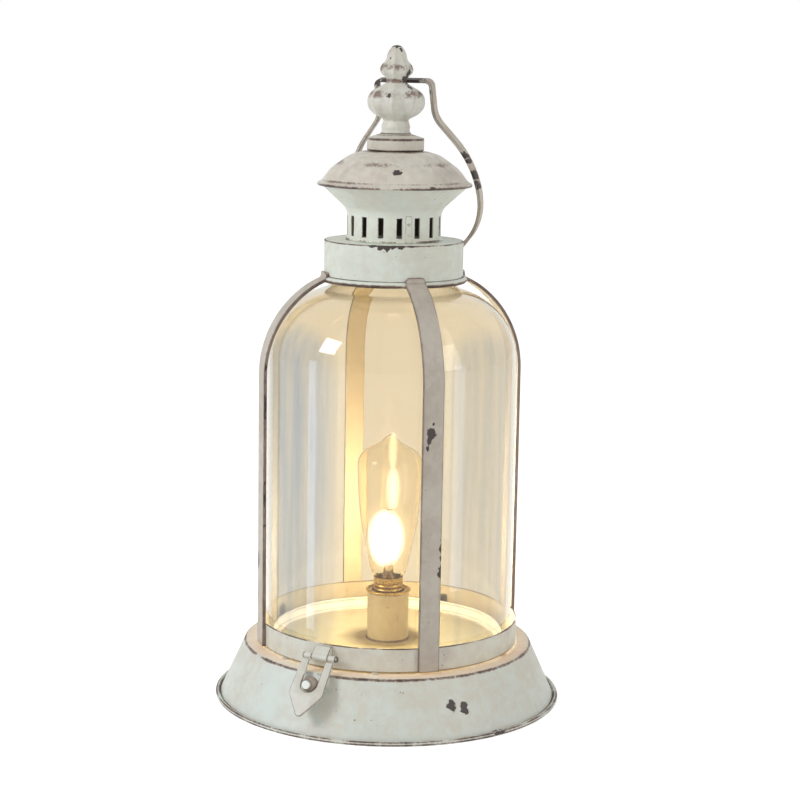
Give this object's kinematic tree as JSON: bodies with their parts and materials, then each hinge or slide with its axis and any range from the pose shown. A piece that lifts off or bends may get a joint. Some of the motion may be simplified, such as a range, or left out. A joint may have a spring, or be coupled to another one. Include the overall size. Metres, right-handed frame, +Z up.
{
  "type": "lantern table lamp",
  "caption": "Lantern table lamp: flared steel base, domed glass cloche in a strapped cage that tips back on a rear hinge, front hasp, vented top, lobed finial, bail and screw-cap bulb.",
  "frame": {"origin": "centre of the ring that the base stands on, at the height of the table", "axes": "+Z up through the finial, -Y the front with the hasp, +Y the back with the hinge, +X to the right seen from the front"},
  "size_m": [0.305, 0.3113, 0.57],
  "materials": {
    "cream_paint": "distressed cream enamel, chipped and rubbed to dark metal at the edges",
    "taupe_paint": "thin worn cream paint over brown primer, satin",
    "worn_steel": "dull bare steel with rubbed-in dirt",
    "brass": "plain rolled brass",
    "cloche_glass": "clear blown glass, polished",
    "bulb_glass": "clear bulb glass",
    "filament": "glowing tungsten",
    "rubber": "matt moulded rubber",
    "phenolic": "moulded brown phenolic",
    "clear_bumper": "translucent soft bumper"
  },
  "bodies": {
    "base": {"base_skirt": "cream_paint", "locating_ring": "taupe_paint", "band_bumpers": "clear_bumper", "lampholder_tube": "cream_paint", "lampholder_ring": "worn_steel", "lampholder_body": "phenolic", "screw_shell": "brass", "centre_contact": "brass", "holder_nipple": "worn_steel", "nipple_washer": "worn_steel", "nipple_nut": "worn_steel", "latch_knob": "worn_steel", "knob_nut": "worn_steel", "hinge_lower_leaf": "taupe_paint", "hinge_pin": "worn_steel", "hinge_lower_rivets": "taupe_paint", "cable_grommet": "rubber"},
    "cage": {"cage_band": "cream_paint", "strap_front_left": "taupe_paint", "strap_front_right": "taupe_paint", "strap_back_left": "taupe_paint", "strap_back_right": "taupe_paint", "glass_cloche": "cloche_glass", "glass_clips": "worn_steel", "neck_seal": "rubber", "collar": "cream_paint", "chimney": "cream_paint", "cap": "cream_paint", "cap_washer": "worn_steel", "cap_nut": "worn_steel", "finial_stud": "worn_steel", "finial_drum": "cream_paint", "finial": "cream_paint", "hasp_bracket": "cream_paint", "hasp_pin": "worn_steel", "hinge_upper_leaf": "taupe_paint", "hinge_upper_rivets": "taupe_paint", "bail_lugs": "cream_paint", "bail_rivets": "worn_steel"},
    "hasp": {"hasp_plate": "taupe_paint"},
    "bail": {"bail": "taupe_paint"},
    "bulb": {"bulb_glass": "bulb_glass", "bulb_screw": "brass", "bulb_insulator": "phenolic", "bulb_contact": "worn_steel", "bulb_stem": "bulb_glass", "bulb_filament": "filament", "bulb_supports": "worn_steel"}
  },
  "joints": [
    {"name": "cage_tilt", "type": "hinge", "parent": "base", "child": "cage", "pos_m": [0, 0.1185, 0.056], "axis": [-1, 0, 0], "range_deg": [0, 75]},
    {"name": "hasp_swing", "type": "hinge", "parent": "cage", "child": "hasp", "pos_m": [0, -0.121, 0.0625], "axis": [-1, 0, 0], "range_deg": [0, 120]},
    {"name": "bail_swing", "type": "hinge", "parent": "cage", "child": "bail", "pos_m": [0, 0.0542, 0.388], "axis": [-1, 0, 0], "range_deg": [0, 150]},
    {"name": "bulb_lift", "type": "slide", "parent": "base", "child": "bulb", "axis": [0, 0, 1], "range_m": [0, 0.04]}
  ]
}
